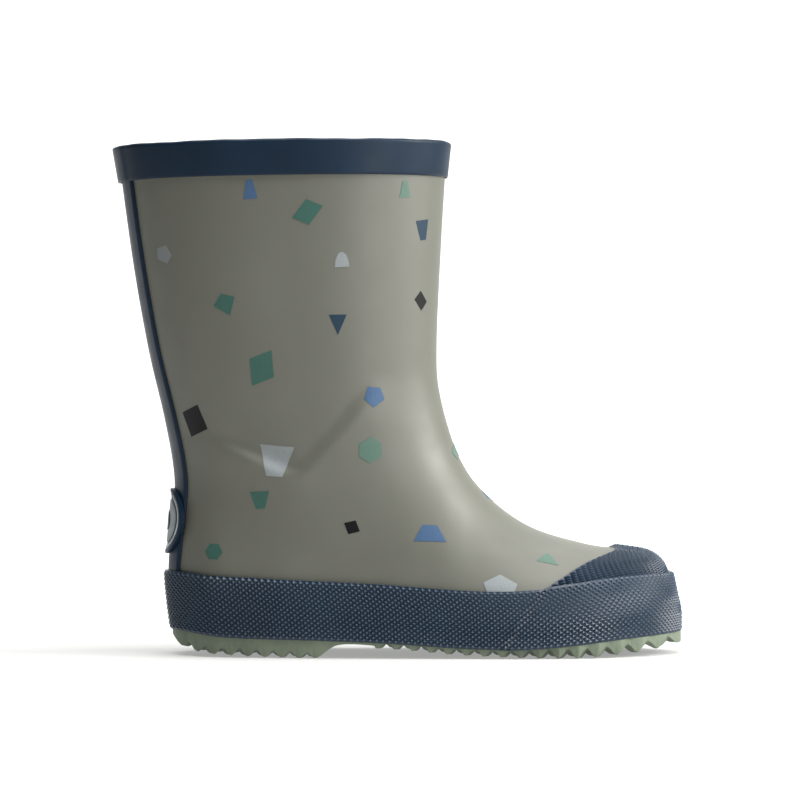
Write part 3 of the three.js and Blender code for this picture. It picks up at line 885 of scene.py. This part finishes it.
class BOOT_OT_toe_cap(bpy.types.Operator):
    """Knurled rubber cap over the toe, its lower part under the foxing"""

    bl_idname = "boot.toe_cap"
    bl_label = "Toe cap"

    def execute(self, context):
        rows, many = 50, 42
        low_z, apex_x = 13.0, 159.8
        _, dense, _ = eased(400)
        ridge = front_points[(front_points[:, 0] > apex_x) & (front_points[:, 1] > low_z + 1)]
        apex = Path(np.vstack([[[apex_x, float(top_at(apex_x))]], ridge]))
        strips = []
        for side in (-1.0, 1.0):
            # The rear edge as seen from this side, from the ridge down, then the skin beneath it.
            z = CAP_EDGE[-2][1] + (low_z - CAP_EDGE[-2][1]) * dense
            aim = np.stack([cap_edge_at(z), z], -1)
            edge = aim.copy()
            for _ in range(8):
                edge[:, 1] = np.minimum(edge[:, 1], top_at(edge[:, 0]))
                skin = skin_at(edge[:, 0], edge[:, 1], side)
                out = normal_at(skin) * CAP_PROUD
                edge = np.stack([cap_edge_x(z, side, skin[:, 1] + out[:, 1]), z], -1) - out[:, [0, 2]]
            edge[0] = apex.points[0]
            straight = edge[0] + (edge[-1] - edge[0]) * dense[:, None]
            foot_x = edge[-1, 0] + (TOE_X - 0.02 - edge[-1, 0]) * np.sin(np.linspace(0, math.pi / 2, 500))
            foot_line = skin_at(foot_x, np.full(500, low_z), side)
            reach = lengths_along(foot_line)
            line = []
            for k in range(rows + 1):
                r = k / rows
                top = apex.at((1.3 * r - 0.3 * r * r) * apex.total)
                foot = np.array([np.interp(r * reach[-1], reach, foot_x), low_z])
                flat = top + (foot - top) * dense[:, None] + (edge - straight) * (1 - r) ** 2
                flat[:, 1] = np.minimum(flat[:, 1], top_at(flat[:, 0]))
                skin = skin_at(flat[:, 0], flat[:, 1], side)
                girth = lengths_along(skin)
                at = np.linspace(0, girth[-1], many + 1)
                line.append(np.stack([np.interp(at, girth, skin[:, m]) for m in range(3)], -1))
            strips.append(np.array(line))
        near, far = strips
        ridge = (near[:, :1] + far[:, :1]) / 2
        skin = onto_skin(np.concatenate([near[:, :0:-1], ridge, far[:, 1:]], 1), 3)
        shape = skin.shape[:2]
        relief = knurl(*shape)
        step = np.linalg.norm(skin[1:] - skin[:-1], axis=-1)
        edge = np.vstack([np.zeros((1, shape[1])), np.cumsum(step, axis=0)])
        relief = relief * np.vstack([smoothstep(0.12, 0.4, step), step[-1:] * 0])
        drop = round_edge(edge, 0.7) * 0.7
        outer = CAP_PROUD - 0.15 - drop + relief * settings().knurl_depth / MM * 0.9
        faces = turned_out(skin, knurl_faces(*shape))
        made = between_offsets(
            "toe_cap_rubber", skin, faces, outer, 0.02, knurled_trim(), sharp=0, values=relief
        )
        finish_piece(made, "trim_rubber", "toe_cap")
        return {"FINISHED"}


class BOOT_OT_foxing(bpy.types.Operator):
    """Knurled band round the foot, over the lower ends of the cap and the strip"""

    bl_idname = "boot.foxing"
    bl_label = "Foxing band"

    def execute(self, context):
        pitch = settings().knurl_pitch / MM
        turn, dense, side = eased(2001, 2)
        x = along_foot(dense)
        middle = skin_at(x, foxing_bottom_at(x) + 10, side)
        length = lengths_along(middle)
        columns = 2 * round((length[-1] + 16) / pitch)
        at = np.interp(np.linspace(0, length[-1], columns + 1), length, turn)
        share, side = (1 - np.cos(at)) / 2, np.where(at <= math.pi, -1.0, 1.0)[None]
        x_mid = along_foot(share)
        rows = 2 * round(float(foxing_height_at(80)) / (settings().knurl_height / MM)) + 1
        up = np.linspace(1, 0, rows)[:, None]
        z = foxing_bottom_at(x_mid)[None] + up * foxing_height_at(x_mid)[None]
        x, skin = under_edge(z, share[None], side, FOXING_PROUD)
        past_cap = x - cap_edge_x(z, side, skin[..., 1])
        over_cap = smoothstep(-2.6, 2.4, past_cap)
        over_strip = 1 - smoothstep(1, 12, x)
        proud = FOXING_PROUD + (FOXING_OVER_CAP - FOXING_PROUD) * over_cap
        proud = proud + (FOXING_OVER_STRIP - FOXING_PROUD) * over_strip
        relief = knurl(rows, columns + 1)
        edge = np.minimum(up, 1 - up) * foxing_height_at(x_mid)[None]
        outer = proud - 0.15 - 0.5 * round_edge(edge, 0.7) + relief * settings().knurl_depth / MM / 2
        outer = outer + 0.12 * waves(skin, 33, 5)
        inner = 0.03 + (CAP_PROUD + 0.1) * smoothstep(-0.6, -0.1, past_cap)
        inner = inner + (STRIP_PROUD + 0.02) * smoothstep(10, 9, x)
        faces = knurl_faces(rows, columns + 1)
        made = between_offsets(
            "foxing_band_rubber", skin, faces, outer, inner, knurled_trim(), sharp=0, values=relief
        )
        finish_piece(made, "trim_rubber", "foxing_band")
        return {"FINISHED"}


# ---- Outsole and insole ----

# Place of a rib's tip along the boot, and the rib's number.
HEEL_RIBS = [(6.3, 0), (53.6, 8)]
FOREFOOT_RIBS = [(75.1, 0), (99.3, 4), (124.4, 8), (150.9, 12), (180.7, 16)]
HEEL_RIB_DEPTH = 1.9
FOREFOOT_RIB_DEPTH = 2.5
RIB_SWING = 1.7
RIB_SWING_LENGTH = 24
MOUTH_DEPTH = 0.9
MOUTH_REACH = 2.2
# How far each ring of the sole's lower edge lies inside the outline, and how high it is lifted.
EDGE_RINGS = [(0, 0.4), (0.15, 0.14), (0.5, 0.0)]


def plan_outline(share, side, offset, z=0.0):
    """The foot's outline in plan, grown by an offset."""
    x = along_foot(share)
    skin = skin_at(x, np.full_like(x, z), side)
    n = normal_at(skin)
    n[..., 2] = 0
    return (skin + unit(n) * np.broadcast_to(offset, x.shape)[..., None])[..., :2]


def tread_height(x, y, inset):
    """Height of the tread over the floor: waved ribs under heel and forefoot, and a plain arch between.
    The grooves deepen where they run out at the sole's edge, an inset away."""
    swing = RIB_SWING * np.sin(2 * math.pi * y / RIB_SWING_LENGTH) * smoothstep(0, 5, inset)
    mouth = np.exp(-np.asarray(inset) / MOUTH_REACH) * MOUTH_DEPTH
    at = x + swing
    heel = np.interp(at, *np.array(HEEL_RIBS).T, left=0, right=8)
    wave = (1 - np.cos(2 * math.pi * heel)) / 2
    heel_depth = HEEL_RIB_DEPTH + mouth * smoothstep(52, 14, x)
    fore = np.interp(at, *np.array(FOREFOOT_RIBS).T, left=0, right=16)
    groove = 0.5 - np.abs((fore % 1) - 0.5)
    tooth = 0.55 * (1 - np.cos(2 * math.pi * fore)) / 2 + 0.45 * 2 * groove
    return tread_at(x) + heel_depth * wave + (FOREFOOT_RIB_DEPTH + mouth) * tooth


class BOOT_OT_outsole(bpy.types.Operator):
    """Outsole with waved ribs, a heel, an arch and toe spring"""

    bl_idname = "boot.outsole"
    bl_label = "Outsole"

    def execute(self, context):
        sole = settings().sole_colour
        # Cured crepe-type rubber, unlacquered: matt and a touch cloudy, with a fine tooth from the mould.
        matt = moulded_rubber(
            "unlacquered_green_rubber", (tinted(sole, 0.82), tinted(sole, 1.14)), 0.62,
            grain=0.5, grain_depth=0.02, patch=11,
        )
        turn, dense, _ = eased(3001)
        length = lengths_along(plan_outline(dense, -1.0, 1.5))
        many = 520
        share = np.interp(np.interp(np.linspace(0, length[-1], many + 1), length, turn), turn, dense)
        x = along_foot(share)
        proud = 1.3 + 0.9 * smoothstep(20, 4, x) + 1.5 * smoothstep(122, 150, x)
        fore = np.interp(x, *np.array(FOREFOOT_RIBS).T)
        points_out = np.abs((fore % 1) - 0.5) * 2 - 0.5
        proud = proud + 0.9 * points_out * smoothstep(112, 140, x) * smoothstep(186, 176, x)
        sides = (-1.0, 1.0)
        edges = {inset: [plan_outline(share, s, proud - inset) for s in sides] for inset, _ in EDGE_RINGS}
        skin_edge = [plan_outline(share, s, -0.1) for s in sides]
        inner_share = eased(41)[1][1:-1]
        lower, upper = [], []

        def put(flat_low, z_low, flat_high, z_high):
            lower.append(np.column_stack([flat_low, z_low]))
            upper.append(np.column_stack([flat_high, z_high]))

        def put_edge(side, ring, top):
            (inset, lift), (flats, height) = ring, top
            low = edges[inset][side]
            put(low, np.minimum(tread_height(*low.T, inset) + lift, ledge - 0.3), flats[side], height)

        ledge = foxing_bottom_at(x) - 0.05
        seat = seat_at(x) - 0.1
        tops = [(edges[0], ledge), (skin_edge, ledge), (skin_edge, seat)]
        for ring, top in zip(EDGE_RINGS, tops):
            put_edge(0, ring, top)
        near, far = edges[EDGE_RINGS[-1][0]]
        width = np.linalg.norm(far - near, axis=-1)
        near_in, far_in = skin_edge
        for s in inner_share:
            low = near + (far - near) * s
            high = near_in + (far_in - near_in) * s
            inset = 0.5 + np.minimum(s, 1 - s) * width
            put(low, np.minimum(tread_height(*low.T, inset), foxing_bottom_at(low[:, 0]) - 0.4), high, seat)
        for ring, top in zip(EDGE_RINGS[::-1], tops[::-1]):
            put_edge(1, ring, top)
        lower, upper = np.array(lower), np.array(upper)
        lower[..., 2] = np.maximum(lower[..., 2], 0)
        faces = [f[::-1] for f in grid_faces(*lower.shape[:2])]
        made = sheet("outsole_rubber", upper, lower, faces, matt, sharp=32)
        finish_piece(made, "outsole_rubber", "outsole")
        return {"FINISHED"}


class BOOT_OT_insole(bpy.types.Operator):
    """Foam insole, faced with knitted cotton"""

    bl_idname = "boot.insole"
    bl_label = "Insole"

    def execute(self, context):
        lining = settings().lining_colour
        facing = knitted_cotton("pale_cotton_facing", (tinted(lining, 0.95), tinted(lining, 1.25)), 1.3)
        share = eased(121)[1]
        x = along_foot(share)
        near, far = (plan_outline(share, s, -WALL - 0.45, 12.0) for s in (-1.0, 1.0))
        across = eased(31)[1]
        flat = near[:, None] + (far - near)[:, None] * across[None, :, None]
        width = np.linalg.norm(far - near, axis=-1)[:, None]
        edge = np.minimum(across, 1 - across)[None] * width
        seat = seat_at(x)[:, None] + 0 * edge
        top = seat + 0.15 + INSOLE_THICKNESS - 0.8 * round_edge(edge, 1.2) - 0.5 * smoothstep(0, 14, edge)
        upper = np.concatenate([flat, top[..., None]], -1)
        lower = np.concatenate([flat, (seat + 0.2)[..., None]], -1)
        faces = grid_faces(*edge.shape)
        made = sheet("insole_pad", upper, lower, faces, facing, sharp=50)
        finish_piece(made, "insole_foam", "insole")
        return {"FINISHED"}


# ---- Heel badge ----

# Inner and outer radius, how far it stands off the skin, and finish of each ring of the badge.
BADGE_RINGS = [
    ("badge_rim", 10.0, BADGE_RADIUS, 2.8, "navy"), ("badge_ring", 8.9, 10.0, 2.6, "off_white"),
    ("badge_groove", 7.8, 8.9, 2.3, "navy"), ("badge_disc", 3.6, 7.8, 2.55, "pale_grey"),
    ("badge_dot", 0.0, 3.6, 2.75, "navy"),
]


class BOOT_OT_heel_badge(bpy.types.Operator):
    """Round badge low on the back strip, with plain rings and no lettering"""

    bl_idname = "boot.heel_badge"
    bl_label = "Heel badge"

    def execute(self, context):
        finishes = {"navy": smooth_trim()}
        # Moulded rubber filled with white pigment: cool greys, slightly clouded as if handled.
        for finish, low, high in (("off_white", "#8f979a", "#b9c0c2"), ("pale_grey", "#757d80", "#949b9d")):
            tones = linear(low), linear(high)
            finishes[finish] = moulded_rubber(f"moulded_{finish}_rubber", tones, 0.5, patch=5)
        start = back_skin(np.array(BADGE_ASIDE), np.array(BADGE_HEIGHT))
        n = normal_at(start)
        sideways = unit(np.cross(n, [0.0, 0.0, 1.0]))
        upwards = upwards_from(sideways, n)
        turn = np.linspace(0, 2 * math.pi, 73)
        for k, (name, small, large, high, finish) in enumerate(BADGE_RINGS):
            radii = np.linspace(small, large, max(int((large - small) / 0.35), 3) + 1)[:, None]
            a, b = radii * np.cos(turn), radii * np.sin(turn)
            skin = walk_over_skin(start, sideways, upwards, a * BADGE_STRETCH, b)
            edge = np.minimum(large - radii, radii - small if small else large - radii) + 0 * a
            outer = high - 0.8 * round_edge(edge, 0.3) + skin_swell(skin)
            faces = turned_out(skin, grid_faces(*a.shape))
            made = between_offsets(name, skin, faces, outer, STRIP_PROUD + 0.25, finishes[finish], sharp=50)
            finish_piece(made, "badge_rubber", *(["heel_badge"] if k == 0 else []))
        return {"FINISHED"}


# ---- Stage ----

CAMERA_DISTANCE = 1.4
CAMERA_LENS = 177.5
CAMERA_HEIGHT = 0.0896
CAMERA_ALONG = 0.0005


def area_light(name, place, target, power, size, colour=(1, 1, 1)):
    data = bpy.data.lights.new(name, "AREA")
    data.energy, data.size, data.color = power, size, colour
    light = bpy.data.objects.new(name, data)
    light.location = place
    light.rotation_euler = (Vector(target) - Vector(place)).to_track_quat("-Z", "Y").to_euler()
    bpy.context.scene.collection.objects.link(light)


class BOOT_OT_stage(bpy.types.Operator):
    """Pale floor that sweeps up behind the boot, soft lights and the camera"""

    bl_idname = "boot.stage"
    bl_label = "Stage"

    def execute(self, context):
        scene = context.scene
        bend, far, half, high = 0.8, 2.2, 4.0, 3.4
        angles = np.linspace(0, math.pi / 2, 13)
        curve = [(far + bend * math.sin(a), bend - bend * math.cos(a)) for a in angles]
        line = [(-4.0, 0.0), (-0.6, 0.0), (0.0, 0.0), (1.0, 0.0), *curve, (far + bend, high)]
        points = [(x, y, z - 0.0001) for y, z in line for x in (-half, 0, half)]
        faces = [
            [3 * i + j, 3 * i + j + 1, 3 * i + j + 4, 3 * i + j + 3]
            for i in range(len(line) - 1) for j in range(2)
        ]
        mesh = bpy.data.meshes.new("sweep")
        mesh.from_pydata(points, [], faces)
        mesh.shade_smooth()
        material, tree, place = new_material("white_studio_paper")
        # Matt seamless paper on a light table: even white with a faint tooth, and soft shadows.
        tooth = mottled(tree, place, 4, (linear("#a9a9a7"), linear("#aeaeac")))
        shade(tree, {
            "Base Color": tooth, "Roughness": 0.9, "Emission Color": (1, 1, 1, 1), "Emission Strength": 0.32,
        })
        mesh.materials.append(material)
        sweep = bpy.data.objects.new("sweep", mesh)
        scene.collection.objects.link(sweep)

        key = settings().key_power
        area_light("key", (1.5, -0.15, 0.85), (0, 0, 0.08), key * 1.75, 1.1, (1, 0.985, 0.955))
        area_light("front", (0.95, -1.1, 0.35), (0, 0, 0.06), key * 0.26, 0.6)
        area_light("top", (0.15, -0.4, 1.9), (0, 0, 0), key * 1.5, 1.2)
        area_light("backdrop", (0.0, 1.1, 1.9), (0, 2.9, 0.5), key * 5, 1.8)
        world = bpy.data.worlds.new("soft_room")
        world.use_nodes = True
        room = world.node_tree.nodes["Background"]
        room.inputs["Color"].default_value = (1, 1, 1, 1)
        room.inputs["Strength"].default_value = 0.08
        scene.world = world
        scene.view_settings.view_transform = "Standard"

        camera = bpy.data.objects.new("camera", bpy.data.cameras.new("camera"))
        camera.data.lens = CAMERA_LENS
        camera.data.clip_start, camera.data.clip_end = 0.1, 30
        camera.location = (CAMERA_ALONG, -CAMERA_DISTANCE, CAMERA_HEIGHT)
        camera.rotation_euler = (math.pi / 2, 0, 0)
        scene.collection.objects.link(camera)
        scene.camera = camera
        return {"FINISHED"}


# ---- Panel and run ----

OPERATORS = [
    BOOT_OT_upper, BOOT_OT_prints, BOOT_OT_collar_binding, BOOT_OT_back_strip, BOOT_OT_toe_cap,
    BOOT_OT_foxing, BOOT_OT_outsole, BOOT_OT_insole, BOOT_OT_heel_badge, BOOT_OT_stage,
]


class BOOT_PT_panel(bpy.types.Panel):
    """Lists the boot's settings and its pieces"""

    bl_label = "Wellington Boot"
    bl_idname = "BOOT_PT_panel"
    bl_space_type = "VIEW_3D"
    bl_region_type = "UI"
    bl_category = "Boot"

    def draw(self, context):
        for name in BootSettings.__annotations__:
            self.layout.prop(context.scene.boot_settings, name)
        for operator in OPERATORS:
            self.layout.operator(operator.bl_idname)


def register():
    for cls in (BootSettings, *OPERATORS, BOOT_PT_panel):
        bpy.utils.register_class(cls)
    bpy.types.Scene.boot_settings = PointerProperty(type=BootSettings)


def unregister():
    del bpy.types.Scene.boot_settings
    for cls in (BOOT_PT_panel, *reversed(OPERATORS), BootSettings):
        bpy.utils.unregister_class(cls)


def main():
    register()
    for operator in OPERATORS:
        group, name = operator.bl_idname.split(".")
        getattr(getattr(bpy.ops, group), name)()


if __name__ == "__main__":
    main()
